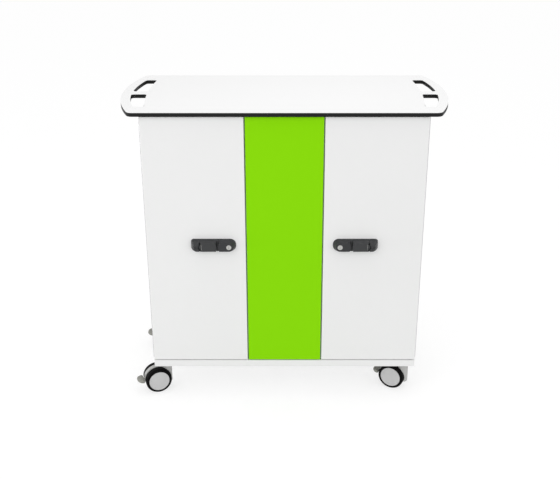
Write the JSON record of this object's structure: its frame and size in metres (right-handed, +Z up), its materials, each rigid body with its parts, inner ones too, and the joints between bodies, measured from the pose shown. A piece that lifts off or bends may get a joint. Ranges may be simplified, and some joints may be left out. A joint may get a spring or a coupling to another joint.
{
  "type": "tablet charging cart",
  "caption": "White cabinet on swivel castors for storing and charging tablets, with hinged locking doors, a green middle panel and a black-edged worktop whose ends are cut out as handles.",
  "frame": {"origin": "on the floor, under the middle of the cabinet", "axes": "+Z up, the doors face -Y, +X to the right of someone facing the doors"},
  "size_m": [1.065, 0.4749, 1.037],
  "materials": {
    "white_laminate": "satin white decor laminate",
    "laminate_core": "black phenolic core, cut and sanded edge",
    "white_board": "white melamine-faced board with matching edging",
    "green_board": "lime green melamine-faced board",
    "white_metal": "white powder coat",
    "grey_plastic": "moulded grey nylon",
    "pedal_plastic": "moulded warm grey nylon",
    "clear_plastic": "frosted divider sheet",
    "black_plastic": "moulded black",
    "zinc_steel": "zinc-plated",
    "white_steel_hinge": "white powder coat on a steel hinge",
    "handle_metal": "dark grey powder coat on die-cast zinc",
    "handle_plastic": "dark grey moulded nylon",
    "bright_cylinder": "polished nickel",
    "castor_tyre": "black tread bonded on a hub"
  },
  "bodies": {
    "root": {"back_panel_left": "white_board", "back_panel_right": "white_board", "base_panel": "white_board", "castor_plates": "zinc_steel", "centre_panel": "green_board", "charging_units": "black_plastic", "divider_trays": "grey_plastic", "hinge_frame_leaf_left": "white_steel_hinge", "hinge_frame_leaf_right": "white_steel_hinge", "hinge_pin_left": "white_steel_hinge", "hinge_pin_right": "white_steel_hinge", "mains_inlet": "black_plastic", "partition_left": "white_board", "partition_right": "white_board", "power_strip": "black_plastic", "rear_cover": "white_metal", "rod_keeps": "zinc_steel", "shelves": "white_board", "side_panel_left": "white_board", "side_panel_right": "white_board", "sub_top": "white_board", "tablet_dividers": "clear_plastic", "worktop": "laminate_core", "worktop_face": "white_laminate"},
    "castor_front_left": {"castor_front_left_bracket": "grey_plastic"},
    "castor_front_left_pedal": {"castor_front_left_pedal": "pedal_plastic"},
    "castor_front_left_wheel_a": {"castor_front_left_wheel_a": "castor_tyre"},
    "castor_front_left_wheel_b": {"castor_front_left_wheel_b": "castor_tyre"},
    "castor_front_right": {"castor_front_right_bracket": "grey_plastic"},
    "castor_front_right_pedal": {"castor_front_right_pedal": "pedal_plastic"},
    "castor_front_right_wheel_a": {"castor_front_right_wheel_a": "castor_tyre"},
    "castor_front_right_wheel_b": {"castor_front_right_wheel_b": "castor_tyre"},
    "castor_rear_left": {"castor_rear_left_bracket": "grey_plastic"},
    "castor_rear_left_pedal": {"castor_rear_left_pedal": "pedal_plastic"},
    "castor_rear_left_wheel_a": {"castor_rear_left_wheel_a": "castor_tyre"},
    "castor_rear_left_wheel_b": {"castor_rear_left_wheel_b": "castor_tyre"},
    "castor_rear_right": {"castor_rear_right_bracket": "grey_plastic"},
    "castor_rear_right_pedal": {"castor_rear_right_pedal": "pedal_plastic"},
    "castor_rear_right_wheel_a": {"castor_rear_right_wheel_a": "castor_tyre"},
    "castor_rear_right_wheel_b": {"castor_rear_right_wheel_b": "castor_tyre"},
    "door_left": {"door_left": "white_board", "handle_plate_left": "handle_plastic", "hinge_door_leaf_left": "white_steel_hinge", "lock_case_left": "zinc_steel", "rod_guides_left": "zinc_steel"},
    "door_right": {"door_right": "white_board", "handle_plate_right": "handle_plastic", "hinge_door_leaf_right": "white_steel_hinge", "lock_case_right": "zinc_steel", "rod_guides_right": "zinc_steel"},
    "handle_lever_left": {"handle_lever_left": "handle_metal"},
    "handle_lever_right": {"handle_lever_right": "handle_metal"},
    "key_plug_left": {"key_plug_left": "bright_cylinder"},
    "key_plug_right": {"key_plug_right": "bright_cylinder"},
    "lock_rod_lower_left": {"lock_rod_lower_left": "zinc_steel"},
    "lock_rod_lower_right": {"lock_rod_lower_right": "zinc_steel"},
    "lock_rod_upper_left": {"lock_rod_upper_left": "zinc_steel"},
    "lock_rod_upper_right": {"lock_rod_upper_right": "zinc_steel"},
    "handle_spindle_left": {"spindle_left": "handle_metal"},
    "handle_spindle_right": {"spindle_right": "handle_metal"}
  },
  "joints": [
    {"name": "left_door_hinge", "type": "hinge", "parent": "root", "child": "door_left", "pos_m": [-0.4512, -0.2035, 0.587], "axis": [0, 0, -1], "range_deg": [0, 180]},
    {"name": "left_handle_turn", "type": "hinge", "parent": "door_left", "child": "handle_spindle_left", "pos_m": [-0.287, -0.2364, 0.587], "axis": [0, 1, 0], "range_deg": [0, 90]},
    {"name": "left_lever_lift", "type": "hinge", "parent": "handle_spindle_left", "child": "handle_lever_left", "pos_m": [-0.277, -0.2364, 0.587], "axis": [0, 0, -1], "range_deg": [0, 40]},
    {"name": "left_key_turn", "type": "hinge", "parent": "door_left", "child": "key_plug_left", "pos_m": [-0.181, -0.242, 0.587], "axis": [0, 1, 0], "range_deg": [0, 90]},
    {"name": "left_upper_rod_slide", "type": "slide", "parent": "door_left", "child": "lock_rod_upper_left", "axis": [0, 0, 1], "range_m": [-0.01669, 0]},
    {"name": "left_lower_rod_slide", "type": "slide", "parent": "door_left", "child": "lock_rod_lower_left", "axis": [0, 0, -1], "range_m": [-0.01669, 0]},
    {"name": "right_door_hinge", "type": "hinge", "parent": "root", "child": "door_right", "pos_m": [0.4512, -0.2035, 0.587], "axis": [0, 0, 1], "range_deg": [0, 180]},
    {"name": "right_handle_turn", "type": "hinge", "parent": "door_right", "child": "handle_spindle_right", "pos_m": [0.287, -0.2364, 0.587], "axis": [0, -1, 0], "range_deg": [0, 90]},
    {"name": "right_lever_lift", "type": "hinge", "parent": "handle_spindle_right", "child": "handle_lever_right", "pos_m": [0.277, -0.2364, 0.587], "axis": [0, 0, 1], "range_deg": [0, 40]},
    {"name": "right_key_turn", "type": "hinge", "parent": "door_right", "child": "key_plug_right", "pos_m": [0.181, -0.242, 0.587], "axis": [0, -1, 0], "range_deg": [0, 90]},
    {"name": "right_upper_rod_slide", "type": "slide", "parent": "door_right", "child": "lock_rod_upper_right", "axis": [0, 0, 1], "range_m": [-0.01669, 0]},
    {"name": "right_lower_rod_slide", "type": "slide", "parent": "door_right", "child": "lock_rod_lower_right", "axis": [0, 0, -1], "range_m": [-0.01669, 0]},
    {"name": "castor_front_left_swivel", "type": "hinge", "parent": "root", "child": "castor_front_left", "pos_m": [-0.42, -0.1535, 0.125], "axis": [0, 0, 1], "continuous": true},
    {"name": "castor_front_left_wheel_a_spin", "type": "hinge", "parent": "castor_front_left", "child": "castor_front_left_wheel_a", "pos_m": [-0.45195, -0.16513, 0.046], "axis": [0.342, -0.9397, 0], "continuous": true},
    {"name": "castor_front_left_wheel_b_spin", "type": "hinge", "parent": "castor_front_left", "child": "castor_front_left_wheel_b", "pos_m": [-0.45195, -0.16513, 0.046], "axis": [0.342, -0.9397, 0], "continuous": true},
    {"name": "castor_front_left_brake", "type": "hinge", "parent": "castor_front_left", "child": "castor_front_left_pedal", "pos_m": [-0.48897, -0.1786, 0.05295], "axis": [0.342, -0.9397, 0], "range_deg": [0, 12]},
    {"name": "castor_front_right_swivel", "type": "hinge", "parent": "root", "child": "castor_front_right", "pos_m": [0.42, -0.1535, 0.125], "axis": [0, 0, 1], "continuous": true},
    {"name": "castor_front_right_wheel_a_spin", "type": "hinge", "parent": "castor_front_right", "child": "castor_front_right_wheel_a", "pos_m": [0.38944, -0.13859, 0.046], "axis": [-0.4384, -0.8988, 0], "continuous": true},
    {"name": "castor_front_right_wheel_b_spin", "type": "hinge", "parent": "castor_front_right", "child": "castor_front_right_wheel_b", "pos_m": [0.38944, -0.13859, 0.046], "axis": [-0.4384, -0.8988, 0], "continuous": true},
    {"name": "castor_front_right_brake", "type": "hinge", "parent": "castor_front_right", "child": "castor_front_right_pedal", "pos_m": [0.35403, -0.12133, 0.05295], "axis": [-0.4384, -0.8988, 0], "range_deg": [0, 12]},
    {"name": "castor_rear_left_swivel", "type": "hinge", "parent": "root", "child": "castor_rear_left", "pos_m": [-0.42, 0.1535, 0.125], "axis": [0, 0, 1], "continuous": true},
    {"name": "castor_rear_left_wheel_a_spin", "type": "hinge", "parent": "castor_rear_left", "child": "castor_rear_left_wheel_a", "pos_m": [-0.454, 0.1535, 0.046], "axis": [0, -1, 0], "continuous": true},
    {"name": "castor_rear_left_wheel_b_spin", "type": "hinge", "parent": "castor_rear_left", "child": "castor_rear_left_wheel_b", "pos_m": [-0.454, 0.1535, 0.046], "axis": [0, -1, 0], "continuous": true},
    {"name": "castor_rear_left_brake", "type": "hinge", "parent": "castor_rear_left", "child": "castor_rear_left_pedal", "pos_m": [-0.49339, 0.1535, 0.05295], "axis": [0, -1, 0], "range_deg": [0, 12]},
    {"name": "castor_rear_right_swivel", "type": "hinge", "parent": "root", "child": "castor_rear_right", "pos_m": [0.42, 0.1535, 0.125], "axis": [0, 0, 1], "continuous": true},
    {"name": "castor_rear_right_wheel_a_spin", "type": "hinge", "parent": "castor_rear_right", "child": "castor_rear_right_wheel_a", "pos_m": [0.38674, 0.16057, 0.046], "axis": [-0.2079, -0.9781, 0], "continuous": true},
    {"name": "castor_rear_right_wheel_b_spin", "type": "hinge", "parent": "castor_rear_right", "child": "castor_rear_right_wheel_b", "pos_m": [0.38674, 0.16057, 0.046], "axis": [-0.2079, -0.9781, 0], "continuous": true},
    {"name": "castor_rear_right_brake", "type": "hinge", "parent": "castor_rear_right", "child": "castor_rear_right_pedal", "pos_m": [0.34821, 0.16876, 0.05295], "axis": [-0.2079, -0.9781, 0], "range_deg": [0, 12]}
  ],
  "couplings": [
    {"joint": "left_upper_rod_slide", "follows": "left_handle_turn", "m_per_rad": -0.0105},
    {"joint": "left_lower_rod_slide", "follows": "left_handle_turn", "m_per_rad": -0.0105},
    {"joint": "right_upper_rod_slide", "follows": "right_handle_turn", "m_per_rad": -0.0105},
    {"joint": "right_lower_rod_slide", "follows": "right_handle_turn", "m_per_rad": -0.0105}
  ]
}
